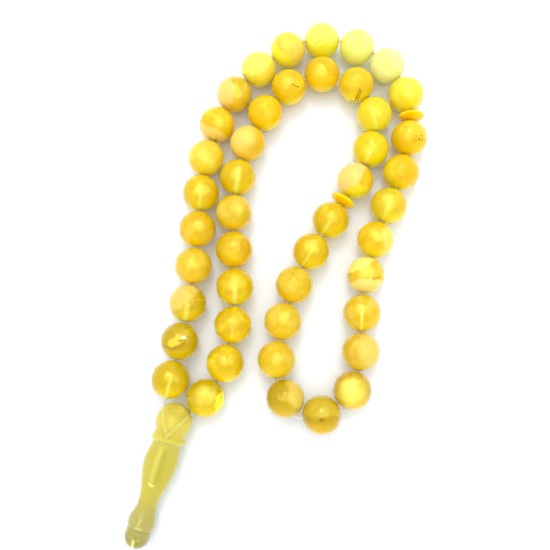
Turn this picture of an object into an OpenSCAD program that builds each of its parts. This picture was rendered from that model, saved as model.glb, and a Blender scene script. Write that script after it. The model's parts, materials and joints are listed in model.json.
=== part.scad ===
// Misbaha: a closed strand of amber prayer beads, in three runs parted by two
// separator discs. One thread runs through every bore. Both of its ends pass
// through the V bores of the imame, the long leader piece, and are tied in it.
// The strand lies on a table, the plane z = 0. The imame points to -Y.
// Units are millimetres.

/* [Beads] */
// Diameter of a prayer bead
bead_d = 12; // [11.8:0.1:12.4]
// Diameter of the bore of a bead or a separator
bore_d = 1.1; // [1.05:0.05:1.3]
// Width of the polished chamfer round a bore's mouth
chamfer = 0.25; // [0.1:0.05:0.4]
// Gap between one strung piece and the next
gap = 0.2; // [0.15:0.01:0.25]

/* [Separators] */
// Diameter of a separator disc
separator_d = 8.4; // [7.6:0.1:9]
// Thickness of a separator disc at its middle
separator_w = 3.3; // [3:0.1:3.6]
// Thickness of a separator disc at its rim
rim_w = 0.6; // [0.4:0.1:1]

/* [Thread] */
// Diameter of the thread
thread_d = 0.9; // [0.7:0.05:0.9]
// Bare thread between the imame's left mouth and the first bead
slack = 2.2; // [1.6:0.1:2.6]
// Diameter of the knot that holds both thread ends
knot_d = 2.4; // [2.2:0.1:2.5]

/* [Imame] */
// Diameter of the imame's ball head
head_d = 11.2; // [10.8:0.1:11.4]
// Outer diameter of the ring under the head
collar_d = 10.5; // [10.2:0.1:10.8]
// Diameter of the body at its swelling
swell_d = 10.4; // [10:0.1:10.6]
// Diameter of the body at its waist
waist_d = 5.9; // [5.4:0.1:6.6]
// Diameter of the ring at the foot of the body
foot_d = 8.3; // [7.8:0.1:8.6]
// Angle between the imame's axis and each bore of the V
v_angle = 30; // [28:1:32]
// Diameter of the knot chamber
chamber_d = 2.7; // [2.6:0.1:3]
// Diameter of the bore in the tip, where a tassel's cord is tied
tassel_bore_d = 1.2; // [1:0.1:1.6]

/* [Hidden] */
$fn = 64;
// Hand-picked route of the thread on the table plane, for 12 mm beads. It starts at
// the imame's left side. The first and last points only steer the curve's ends.
ROUTE_12 = [
    [-37.5, -50], [-36.5, -43], [-30, -11.5], [-27.5, 13], [-25.5, 37], [-16.5, 60.5],
    [2.5, 77], [14, 80], [26.5, 77.5], [37, 69.5], [42.5, 59.5], [42.5, 44],
    [39, 32], [30, 9.5], [26, -3], [24.5, -27], [22.5, -40], [12, -47.5],
    [0.5, -42], [-2, -29], [3.5, -5], [16, 16.5], [29.5, 39.5], [31.5, 53],
    [26, 64], [14, 68], [2, 63], [-12, 42.5], [-16, 18], [-15, -6],
    [-17, -30], [-23.5, -40.5], [-28, -46], [-32, -50]
];
// Centre of the imame's head on the table plane, for 12 mm beads, and its heading
HEAD_12 = [-33.4, -47.7];
heading = 253;
// Middle of the laid-out strand's box on the same plan, which becomes the origin
MIDDLE_12 = [0.32, 0.22];

function on_plan(p) = (p - MIDDLE_12) * bead_d / 12;
route = [for (p = ROUTE_12) on_plan(p)];

// 45 beads in runs of 15, with a separator after the first and the second run
RUN = 15;
PIECES = 3 * RUN + 2;
function is_separator(i) = i == RUN || i == 2 * RUN + 1;
function separator_number(i) = i == RUN ? 1 : 2;
function bead_number(i) = i + 1 - (i > RUN ? 1 : 0) - (i > 2 * RUN + 1 ? 1 : 0);
function two_digits(n) = n < 10 ? str("0", n) : str(n);
function piece_name(i) = is_separator(i) ? str("separator_", separator_number(i))
    : str("bead_", two_digits(bead_number(i)));

AMBER = "gold";
DEEP_AMBER = "orange";
PALE_AMBER = "khaki";
NYLON = "ivory";

// Imame stations along its own axis, from the head's centre towards the tip
collar_at = 5.4;
collar_r = 1.1;
joint_at = 6.5;
swell_at = 13;
waist_at = 25.6;
foot_at = 31.2;
tip_at = 33.2;
tip_end = 38.9;
neck_d = 9.6;
shoulder_d = 8.9;
body_end_d = 7.4;
spigot_d = 4.6;
spigot_l = 3;
socket_play = 0.05;
tenon_d = 3.4;
tenon_l = 3;
v_at = 4.4;
hub_d = 2;
// The knot is drawn up against the mouth of the hub bore, with a hair of play
knot_at = joint_at + spigot_l + sqrt(pow(knot_d / 2, 2) - pow(hub_d / 2, 2)) + 0.05;
chamber_end = 19.5;
drill_point = 118;
mouth_r = 1;

// Geometry of the imame on the table. It rests on its head and on its swelling, so
// its axis dips a little towards the tip. axis_dir runs along it, side_dir across it.
head_r = head_d / 2;
swell_play = 0.01;
dip = asin((head_r - swell_d / 2 - swell_play) / swell_at);
head_centre = [on_plan(HEAD_12).x, on_plan(HEAD_12).y, head_r];
axis_dir = [cos(dip) * cos(heading), cos(dip) * sin(heading), -sin(dip)];
side_dir = [-sin(heading), cos(heading), 0];
function imame_point(y, z) = head_centre + y * side_dir + z * axis_dir;

// Each bore of the V runs from v_at on the axis out to a mouth on the ball head
leg_l = v_at * cos(v_angle) + sqrt(head_r * head_r - pow(v_at * sin(v_angle), 2));
mouth_y = leg_l * sin(v_angle);
mouth_z = v_at - leg_l * cos(v_angle);
mouth_left = imame_point(-mouth_y, mouth_z);
mouth_right = imame_point(mouth_y, mouth_z);

function flat(p) = [p.x, p.y];
function unit(v) = v / norm(v);

// Place on the smooth curve through the route at u, where whole numbers are route points
LAST_U = len(route) - 3;
function blend(a, b, c, d, t) =
    (2 * b + (c - a) * t + (2 * a - 5 * b + 4 * c - d) * t * t
        + (3 * b - a - 3 * c + d) * t * t * t) / 2;
function on_route(u) =
    let (i = min(max(floor(u), 1), LAST_U))
    blend(route[i - 1], route[i], route[i + 1], route[i + 2], u - i);

// First u at or after the given one whose place on the route is d away from p
STEP = 0.05;
HALVINGS = 18;
function walk(p, d, u) = norm(on_route(u) - p) < d && u < LAST_U + 1 ? walk(p, d, u + STEP) : u;
function halve(p, d, low, high, n) =
    n == 0 ? (low + high) / 2
    : let (mid = (low + high) / 2)
        norm(on_route(mid) - p) < d ? halve(p, d, mid, high, n - 1) : halve(p, d, low, mid, n - 1);
function reach(p, d, u) = let (high = walk(p, d, u)) halve(p, d, high - STEP, high, HALVINGS);

// Half the length of thread that a piece takes, on a straight stretch
function half_pitch(i) = ((is_separator(i) ? separator_w : bead_d) + gap) / 2;

// Direction of piece i's bore, for thread that enters it at p. The last aims at the imame.
function bore_dir(i, p, u) =
    i == PIECES - 1 ? unit(flat(mouth_right) - p)
    : unit(on_route(reach(p, 2 * half_pitch(i), u)) - p);

// How much further the thread's corner between two bores stands out, for bores along a and b
function corner(a, b) = 1 / sqrt((1 + a * b) / 2);

// The corner after the piece at c, worked out again once the next bore's direction is known
function corner_after(i, c, dir, u, p, n) =
    n == 0 || i == PIECES - 1 ? p
    : corner_after(i, c, dir, u, c + dir * half_pitch(i) * corner(dir, bore_dir(i + 1, p, u)), n - 1);

// Rows of [centre, bore direction, corner of the thread after it], strung one after another
function strung(i, p, u, before) =
    i == PIECES ? []
    : let (
        dir = bore_dir(i, p, u),
        u_next = i == PIECES - 1 ? u : reach(p, 2 * half_pitch(i), u),
        lead = i == 0 ? slack + half_pitch(0) : half_pitch(i) * corner(before, dir),
        c = p + dir * lead,
        after = corner_after(i, c, dir, u_next, c + dir * half_pitch(i), 2)
    )
    concat([[c, dir, after]], strung(i + 1, after, u_next, dir));

pieces = strung(0, flat(mouth_left), 1, [0, 1]);
function raised(p) = [p.x, p.y, bead_d / 2];
function centre(i) = raised(pieces[i][0]);
function direction(i) = [pieces[i][1].x, pieces[i][1].y, 0];
function corner_point(i) = raised(pieces[i][2]);

// Where the thread leaves the bore of the first or the last bead for the imame. The
// imame's mouths lie a little lower than the bores, so the thread bends there.
function bore_end(i, side) = centre(i) + side * direction(i) * half_pitch(i);

// The loop of thread stops just short of each mouth of the imame, which it flexes at
LOOP_PLAY = 0.3;
function short_of(mouth, p) = mouth + LOOP_PLAY * unit(p - mouth);
loop_points = concat(
    [short_of(mouth_left, bore_end(0, -1)), bore_end(0, -1)],
    [for (i = [0 : PIECES - 2]) corner_point(i)],
    [bore_end(PIECES - 1, 1), short_of(mouth_right, bore_end(PIECES - 1, 1))]
);

// A leg of thread, in the imame's own y and z: down its bore of the V, then to the knot
LEG_PLAY = 0.2;
leg_y = thread_d / 2 + 0.02;
function leg_points(side) = [
    imame_point(side * (mouth_y - LEG_PLAY * sin(v_angle)), mouth_z + LEG_PLAY * cos(v_angle)),
    imame_point(side * leg_y, v_at - leg_y / tan(v_angle)),
    imame_point(side * leg_y, knot_at - knot_d / 4)
];

// A tube of round section swept along points: a ring at each, mitred at the corners
SIDES = 8;
function ring_ahead(points, i) =
    let (
        from = points[max(i - 1, 0)],
        to = points[min(i + 1, len(points) - 1)],
        arriving = i == 0 ? unit(to - points[0]) : unit(points[i] - from),
        leaving = i == len(points) - 1 ? arriving : unit(to - points[i])
    )
    [arriving, leaving];
function ring(points, i, r) =
    let (
        ahead = ring_ahead(points, i),
        across = unit(ahead[0] + ahead[1]),
        level = unit(cross([0, 0, 1], across)),
        up = cross(across, level),
        stretch = corner(ahead[0], ahead[1])
    )
    [for (k = [0 : SIDES - 1])
        points[i] + r * (cos(k * 360 / SIDES) * stretch * level + sin(k * 360 / SIDES) * up)];
module tube(points, d) {
    n = len(points);
    vertices = [for (i = [0 : n - 1]) each ring(points, i, d / 2)];
    walls = [
        for (i = [0 : n - 2])
            for (k = [0 : SIDES - 1])
                [i * SIDES + k, (i + 1) * SIDES + k,
                 (i + 1) * SIDES + (k + 1) % SIDES, i * SIDES + (k + 1) % SIDES]
    ];
    first = [for (k = [0 : SIDES - 1]) k];
    second = [for (k = [SIDES - 1 : -1 : 0]) (n - 1) * SIDES + k];
    polyhedron(vertices, concat(walls, [first, second]));
}

// Puts a piece that is drawn round the Z axis on the strand at place i
module strung_at(i) {
    bore = direction(i);
    translate(centre(i))
        rotate([0, 90, atan2(bore.y, bore.x)])
            children();
}

// Puts a piece that is drawn round the Z axis, head at the origin, where the imame lies
module imame_place() {
    translate(head_centre)
        rotate([0, 90 + dip, heading])
            children();
}

// A bore along Z with a chamfer at each mouth, for a piece that is length long there
module chamfered_bore(length) {
    cylinder(d = bore_d, h = 2 * length, center = true);
    for (end = [-1, 1])
        translate([0, 0, end * length / 2])
            cylinder(
                d1 = bore_d + (end < 0 ? 4 * chamfer : 0),
                d2 = bore_d + (end < 0 ? 0 : 4 * chamfer),
                h = 2 * chamfer,
                center = true
            );
}

// A ball bead: a sphere with its bore
module bead(i) {
    bore_mouths = 2 * sqrt(pow(bead_d / 2, 2) - pow(bore_d / 2, 2));
    color(AMBER)
        strung_at(i)
            difference() {
                sphere(d = bead_d);
                chamfered_bore(bore_mouths);
            }
}

// A separator: a lens, the common part of two balls, cut to a narrow cylindrical rim
module separator(i) {
    rise = (separator_w - rim_w) / 2;
    lens_r = (pow(separator_d / 2, 2) + rise * rise) / (2 * rise);
    color(DEEP_AMBER)
        strung_at(i)
            difference() {
                intersection() {
                    translate([0, 0, separator_w / 2 - lens_r])
                        sphere(r = lens_r);
                    translate([0, 0, lens_r - separator_w / 2])
                        sphere(r = lens_r);
                    cylinder(d = separator_d, h = separator_w, center = true);
                }
                cylinder(d = bore_d, h = 2 * separator_w, center = true);
            }
}

module thread_loop() {
    color(NYLON)
        tube(loop_points, thread_d);
}

module thread_leg(side) {
    color(NYLON)
        tube(leg_points(side), thread_d);
}

// The knot: a ball too big for the hub bore above it
module knot() {
    color(NYLON)
        imame_place()
            translate([0, 0, knot_at])
                sphere(d = knot_d);
}

// One bore of the V, with the round dimple at its mouth that the thread flexes in
module v_bore(side) {
    translate([0, side * mouth_y, mouth_z])
        sphere(r = mouth_r);
    translate([0, 0, v_at])
        rotate([side * v_angle, 0, 0])
            rotate([180, 0, 0])
                cylinder(d = bore_d + 0.1, h = leg_l + 1);
}

// Ball head with its neck and ring, V bored, and a spigot that plugs into the body
module imame_head() {
    color(PALE_AMBER)
        imame_place()
            difference() {
                union() {
                    sphere(d = head_d);
                    translate([0, 0, 1])
                        cylinder(d = neck_d, h = joint_at - 1);
                    translate([0, 0, collar_at])
                        rotate_extrude()
                            translate([collar_d / 2 - collar_r, 0])
                                circle(r = collar_r);
                    translate([0, 0, joint_at - 1])
                        cylinder(d = spigot_d, h = spigot_l + 1);
                }
                v_bore(-1);
                v_bore(1);
                translate([0, 0, v_at - 1])
                    cylinder(d = hub_d, h = joint_at + spigot_l);
            }
}

// Outline of the body: level at each station, with a half cosine wave between two
STATIONS = [
    [joint_at, shoulder_d / 2], [swell_at, swell_d / 2], [waist_at, waist_d / 2],
    [foot_at, foot_d / 2], [tip_at, body_end_d / 2]
];
WAVE_STEPS = 10;
function wave(a, b, t) = [a[1] + (b[1] - a[1]) * (1 - cos(180 * t)) / 2, a[0] + (b[0] - a[0]) * t];
body_outline = [
    for (k = [0 : len(STATIONS) - 2])
        for (t = [0 : WAVE_STEPS - 1]) wave(STATIONS[k], STATIONS[k + 1], t / WAVE_STEPS),
    [body_end_d / 2, tip_at]
];

// Barrel body: a socket for the head, the blind knot chamber and a socket for the tip
module imame_body() {
    point_h = chamber_d / 2 / tan(drill_point / 2);
    color(PALE_AMBER)
        imame_place()
            difference() {
                rotate_extrude()
                    polygon(concat([[0, joint_at]], body_outline, [[0, tip_at]]));
                translate([0, 0, joint_at - 1])
                    cylinder(d = spigot_d + 2 * socket_play, h = spigot_l + 1 + socket_play);
                translate([0, 0, joint_at])
                    cylinder(d = chamber_d, h = chamber_end - point_h - joint_at);
                translate([0, 0, chamber_end - point_h])
                    cylinder(d1 = chamber_d, d2 = 0, h = point_h);
                translate([0, 0, tip_at - tenon_l - socket_play])
                    cylinder(d = tenon_d + 2 * socket_play, h = tenon_l + 1);
            }
}

// Domed tip with its tenon, bored through for a tassel's cord
module imame_tip() {
    dome_h = tip_end - tip_at;
    color(PALE_AMBER)
        imame_place()
            difference() {
                union() {
                    intersection() {
                        translate([0, 0, tip_end - body_end_d / 2 - 0.1])
                            sphere(d = body_end_d + 0.2);
                        translate([0, 0, tip_at])
                            cylinder(d = body_end_d + 2, h = dome_h);
                    }
                    translate([0, 0, tip_at])
                        cylinder(d = body_end_d, h = dome_h - body_end_d / 2);
                    translate([0, 0, tip_at - tenon_l])
                        cylinder(d = tenon_d, h = tenon_l + 1);
                }
                translate([0, 0, tip_at - tenon_l - 1])
                    cylinder(d = tassel_bore_d, h = dome_h + tenon_l + 2);
            }
}

for (i = [0 : PIECES - 1]) {
    union() {
        if (is_separator(i)) separator(i);
        else bead(i);
    }
}
thread_loop();
thread_leg(-1);  // thread_leg_left
thread_leg(1);  // thread_leg_right
knot();
imame_head();
imame_body();
imame_tip();
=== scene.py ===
"""A misbaha: 45 amber beads and two separator discs on one thread, closed by a turned imame.

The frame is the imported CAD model. Everything is in metres, in the frame of that model.
"""

import json
import math

import bpy
import numpy as np
from mathutils import Matrix, Vector


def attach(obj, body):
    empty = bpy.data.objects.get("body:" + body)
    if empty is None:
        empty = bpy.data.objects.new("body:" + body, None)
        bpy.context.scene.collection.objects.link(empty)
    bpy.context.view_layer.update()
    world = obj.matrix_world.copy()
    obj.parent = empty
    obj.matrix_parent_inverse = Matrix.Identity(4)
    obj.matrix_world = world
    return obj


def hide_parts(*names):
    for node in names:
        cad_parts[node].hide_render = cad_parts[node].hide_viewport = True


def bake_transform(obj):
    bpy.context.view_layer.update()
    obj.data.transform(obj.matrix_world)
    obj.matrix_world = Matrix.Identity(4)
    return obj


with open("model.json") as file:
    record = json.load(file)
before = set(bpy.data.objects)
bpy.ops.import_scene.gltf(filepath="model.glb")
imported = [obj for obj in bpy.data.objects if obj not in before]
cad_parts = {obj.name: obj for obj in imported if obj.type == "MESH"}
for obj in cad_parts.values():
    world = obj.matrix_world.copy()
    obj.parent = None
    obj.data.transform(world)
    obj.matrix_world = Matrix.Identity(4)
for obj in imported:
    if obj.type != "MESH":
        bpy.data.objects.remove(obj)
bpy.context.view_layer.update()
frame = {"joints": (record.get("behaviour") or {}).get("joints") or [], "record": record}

MM = 0.001
scene = bpy.context.scene
joints = {j["name"]: j for j in frame["joints"]}

# ---------------------------------------------------------------- sizes of the real pieces

BEAD_D = 12 * MM
BORE_D = 1.1 * MM
GAP = 0.2 * MM
SEPARATOR_D = 8.4 * MM
SEPARATOR_W = 3.3 * MM
THREAD_D = 0.9 * MM
SLACK = 2.2 * MM
RUN = 15
PIECES = 3 * RUN + 2

# ---------------------------------------------------------------- camera

CAMERA_AT = Vector((-0.62 * MM, -37.22 * MM, 202.2 * MM))
CAMERA_LEAN = math.radians(10.11)
CAMERA_ROLL = math.radians(0.59)
SENSOR_WIDTH = 36
LENS = 40.75


def make_camera():
    """The camera of the product shot: nearly straight down on the strand."""
    data = bpy.data.cameras.new("camera")
    data.sensor_width = SENSOR_WIDTH
    data.lens = LENS
    data.clip_start = 0.01
    data.clip_end = 10
    camera = bpy.data.objects.new("camera", data)
    scene.collection.objects.link(camera)
    camera.matrix_world = (
        Matrix.Translation(CAMERA_AT)
        @ Matrix.Rotation(CAMERA_LEAN, 4, "X")
        @ Matrix.Rotation(CAMERA_ROLL, 4, "Y")
    )
    scene.camera = camera


make_camera()

# ---------------------------------------------------------------- where the pieces are strung


def is_separator(i):
    return i in (RUN, 2 * RUN + 1)


def piece_name(i):
    if is_separator(i):
        return f"separator_{1 if i == RUN else 2}"
    return f"bead_{i + 1 - (i > RUN) - (i > 2 * RUN + 1):02d}"


def strung_at(name):
    """The centre of a strung piece and the direction of its bore, from its joint."""
    joint = joints[name + "_spin"]
    return Vector(joint["pos_m"]), Vector(joint["axis"]).normalized()


# Route of the thread on the table plane, as in the CAD model
ROUTE = [
    (-0.0375, -0.05), (-0.0365, -0.043), (-0.03, -0.0115), (-0.0275, 0.013), (-0.0255, 0.037),
    (-0.0165, 0.0605), (0.0025, 0.077), (0.014, 0.08), (0.0265, 0.0775), (0.037, 0.0695),
    (0.0425, 0.0595), (0.0425, 0.044), (0.039, 0.032), (0.03, 0.0095), (0.026, -0.003),
    (0.0245, -0.027), (0.0225, -0.04), (0.012, -0.0475), (0.0005, -0.042), (-0.002, -0.029),
    (0.0035, -0.005), (0.016, 0.0165), (0.0295, 0.0395), (0.0315, 0.053), (0.026, 0.064),
    (0.014, 0.068), (0.002, 0.063), (-0.012, 0.0425), (-0.016, 0.018), (-0.015, -0.006),
    (-0.017, -0.03), (-0.0235, -0.0405), (-0.028, -0.046), (-0.032, -0.05),
]
MIDDLE = Vector((0.32 * MM, 0.22 * MM))
route = [Vector(p) - MIDDLE for p in ROUTE]


def on_route(u):
    """The point at u on the smooth curve through the route, where whole numbers are route points."""
    i = min(max(math.floor(u), 1), len(route) - 3)
    a, b, c, d = route[i - 1 : i + 3]
    t = u - i
    bend = (2 * a - 5 * b + 4 * c - d) * t * t + (3 * b - a - 3 * c + d) * t**3
    return (2 * b + (c - a) * t + bend) / 2


def reach(point, distance, u, step=0.05):
    """The first place on the route after u that is this distance from a point."""
    while (on_route(u) - point).length < distance and u < len(route) - 2:
        u += step
    low, high = u - step, u
    for _ in range(18):
        middle = (low + high) / 2
        if (on_route(middle) - point).length < distance:
            low = middle
        else:
            high = middle
    return (low + high) / 2


def half_pitch(i):
    return ((SEPARATOR_W if is_separator(i) else BEAD_D) + GAP) / 2


def corner_factor(a, b):
    """How much further the thread's corner between two bores stands out, for bores along a and b."""
    return 1 / math.sqrt((1 + a.dot(b)) / 2)


def string_pieces(start, end):
    """The corners of the thread between the pieces, strung along the route from start to end."""
    corners, point, u, before = [], start, 1.0, None

    def bore_direction(i, point, u):
        if i == PIECES - 1:
            return (end - point).normalized()
        return (on_route(reach(point, 2 * half_pitch(i), u)) - point).normalized()

    for i in range(PIECES):
        bore = bore_direction(i, point, u)
        after = u if i == PIECES - 1 else reach(point, 2 * half_pitch(i), u)
        lead = SLACK + half_pitch(i) if i == 0 else half_pitch(i) * corner_factor(before, bore)
        centre = point + bore * lead
        point = centre + bore * half_pitch(i)
        for _ in range(2 if i < PIECES - 1 else 0):
            following = bore_direction(i + 1, point, after)
            point = centre + bore * half_pitch(i) * corner_factor(bore, following)
        corners.append(point)
        u, before = after, bore
    return corners[:-1]


# ---------------------------------------------------------------- the imame's own axes

TIP_END = 38.9 * MM
V_AT = 4.4 * MM
V_ANGLE = math.radians(30)
HEAD_R = 5.6 * MM
mount = frame["record"]["mounts"][0]
imame_axis = Vector(mount["axis"]).normalized()
imame_side = -Vector(joints["imame_tilt"]["axis"]).normalized()
head_centre = Vector(mount["pos_m"]) - imame_axis * (TIP_END - 0.5 * MM)
imame_frame = Matrix.Translation(head_centre) @ Matrix(
    (imame_side.cross(imame_axis), imame_side, imame_axis)
).transposed().to_4x4()


def imame_point(side, along):
    """A point in the imame's level plane: this far to its right side and from its head's centre."""
    return head_centre + side * imame_side + along * imame_axis


leg_length = V_AT * math.cos(V_ANGLE) + math.sqrt(HEAD_R**2 - (V_AT * math.sin(V_ANGLE)) ** 2)
mouth_side = leg_length * math.sin(V_ANGLE)
mouth_along = V_AT - leg_length * math.cos(V_ANGLE)

# ---------------------------------------------------------------- the thread


def rounded(points, reach_of_corner, steps=6):
    """The polyline again with each corner cut by a short smooth curve."""
    line = [points[0]]
    for before, corner, after in zip(points, points[1:], points[2:]):
        reach_here = min(
            reach_of_corner, 0.45 * (corner - before).length, 0.45 * (after - corner).length
        )
        a = corner + (before - corner).normalized() * reach_here
        b = corner + (after - corner).normalized() * reach_here
        for k in range(steps + 1):
            t = k / steps
            line.append(a * (1 - t) ** 2 + corner * 2 * t * (1 - t) + b * t * t)
    return line + [points[-1]]


def respaced(points, step):
    """The polyline again with points this far apart, as an array."""
    line = np.array([tuple(p) for p in points])
    along = np.concatenate([[0], np.cumsum(np.linalg.norm(np.diff(line, axis=0), axis=1))])
    at = np.linspace(0, along[-1], round(along[-1] / step) + 1)
    return np.stack([np.interp(at, along, line[:, k]) for k in range(3)], axis=1)


def sweep(line, section):
    """Vertices and faces of a tube along a line. section gives the ring's offsets at a ring's number."""
    count = len(line)
    ahead = np.gradient(line, axis=0)
    ahead /= np.linalg.norm(ahead, axis=1)[:, None]
    across = np.cross([0, 0, 1.0], ahead[0])
    rings = []
    for i in range(count):
        across = across - ahead[i] * (across @ ahead[i])
        across /= np.linalg.norm(across)
        up = np.cross(ahead[i], across)
        offsets = section(i)
        rings.append(line[i] + offsets[:, :1] * across + offsets[:, 1:] * up)
    sides = len(rings[0])
    faces = [
        (i * sides + k, i * sides + (k + 1) % sides, (i + 1) * sides + (k + 1) % sides, (i + 1) * sides + k)
        for i in range(count - 1)
        for k in range(sides)
    ]
    faces.append(tuple(reversed(range(sides))))
    faces.append(tuple(range((count - 1) * sides, count * sides)))
    return np.concatenate(rings), faces


def twisted_plies(radius, plies, sides, pitch, step):
    """A section for sweep(): round plies laid together, turning once in each pitch."""
    angle = np.arange(sides) * 2 * math.pi / sides

    def section(i):
        turn = 2 * math.pi * i * step / pitch
        r = radius * (0.90 + 0.10 * np.abs(np.cos((angle - turn) * plies / 2)))
        return np.stack([r * np.cos(angle), r * np.sin(angle)], axis=1)

    return section


def new_piece(name, vertices, faces, material):
    """A mesh object whose vertices are in the row frame."""
    mesh = bpy.data.meshes.new(name)
    mesh.from_pydata([tuple(v) for v in vertices], [], faces)
    mesh.shade_smooth()
    mesh.materials.append(material)
    mesh.update()
    piece = bpy.data.objects.new(name, mesh)
    scene.collection.objects.link(piece)
    return piece


# ---------------------------------------------------------------- materials


class Shader:
    """A material's nodes, with short calls for the ones that the materials here share."""

    def __init__(self, name):
        self.material = bpy.data.materials.new(name)
        self.material.use_nodes = True
        self.tree = self.material.node_tree
        self.surface = self.tree.nodes["Principled BSDF"]

    def set(self, **values):
        """Sets sockets of the surface, named with _ for a space."""
        for name, value in values.items():
            self.feed(self.surface.inputs[name.replace("_", " ")], value)

    def feed(self, socket, value):
        if isinstance(value, bpy.types.NodeSocket):
            self.tree.links.new(value, socket)
        else:
            socket.default_value = value

    def node(self, kind, *inputs, **settings):
        made = self.tree.nodes.new("ShaderNode" + kind)
        for name, value in settings.items():
            setattr(made, name, value)
        for socket, value in zip(made.inputs, inputs):
            if value is not None:
                self.feed(socket, value)
        return made

    def attribute(self, name):
        return self.node("Attribute", attribute_name=name).outputs["Vector"]

    def vector(self, operation, a, b):
        return self.node("VectorMath", a, b, operation=operation).outputs[0]

    def scaled(self, a, factor):
        made = self.node("VectorMath", a, operation="SCALE")
        made.inputs["Scale"].default_value = factor
        return made.outputs[0]

    def dot(self, a, b):
        return self.node("VectorMath", a, b, operation="DOT_PRODUCT").outputs["Value"]

    def math(self, operation, a, b=None):
        return self.node("Math", a, b, operation=operation).outputs[0]

    def scaled_value(self, value, factor, added=0.0):
        return self.node("Math", value, factor, added, operation="MULTIPLY_ADD").outputs[0]

    def noise(self, place, scale, detail=3.0, roughness=0.5, colour=False):
        made = self.node("TexNoise")
        self.feed(made.inputs["Vector"], place)
        made.inputs["Scale"].default_value = scale
        made.inputs["Detail"].default_value = detail
        made.inputs["Roughness"].default_value = roughness
        return made.outputs["Color" if colour else "Fac"]

    def span(self, value, low, high, to_low=0.0, to_high=1.0):
        """value eased from low..high to to_low..to_high."""
        made = self.node("MapRange", value, low, high, to_low, to_high, interpolation_type="SMOOTHSTEP")
        return made.outputs[0]

    def mix(self, factor, a, b):
        made = self.node("Mix", data_type="RGBA")
        self.feed(made.inputs[0], factor)
        self.feed(made.inputs[6], a)
        self.feed(made.inputs[7], b)
        return made.outputs[2]

    def bump(self, height, strength, distance):
        made = self.node("Bump", strength, distance)
        self.feed(made.inputs["Height"], height)
        self.feed(self.surface.inputs["Normal"], made.outputs[0])


def on_top(x, y):
    """The point on the upper half of a ball of radius 1 that lies over (x, y)."""
    return Vector((x, y, math.sqrt(max(1 - x * x - y * y, 0))))


def from_line(s, place, a, b):
    """The vector to a place from the nearest point of the line between two points, in a material."""
    from_start = s.vector("SUBTRACT", place, a)
    if a != b:
        share = s.node("Math", s.dot(from_start, (b - a) / (b - a).length_squared), 0, operation="ADD")
        share.use_clamp = True
        step = s.node("VectorMath", b - a, operation="SCALE")
        s.feed(step.inputs["Scale"], share.outputs[0])
        from_start = s.vector("SUBTRACT", from_start, step.outputs[0])
    return from_start


def length(s, vector):
    return s.node("VectorMath", vector, operation="LENGTH").outputs["Value"]


def along_surface(s, place, away):
    """How long the part of the vector away is that runs along a ball of radius 1 at a place.

    It is at least a small share of the whole length, so that nothing shows on the ball's far side.
    """
    aside = s.vector("CROSS_PRODUCT", away, place)
    return s.math("MAXIMUM", length(s, aside), s.scaled_value(length(s, away), 0.15))


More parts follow.
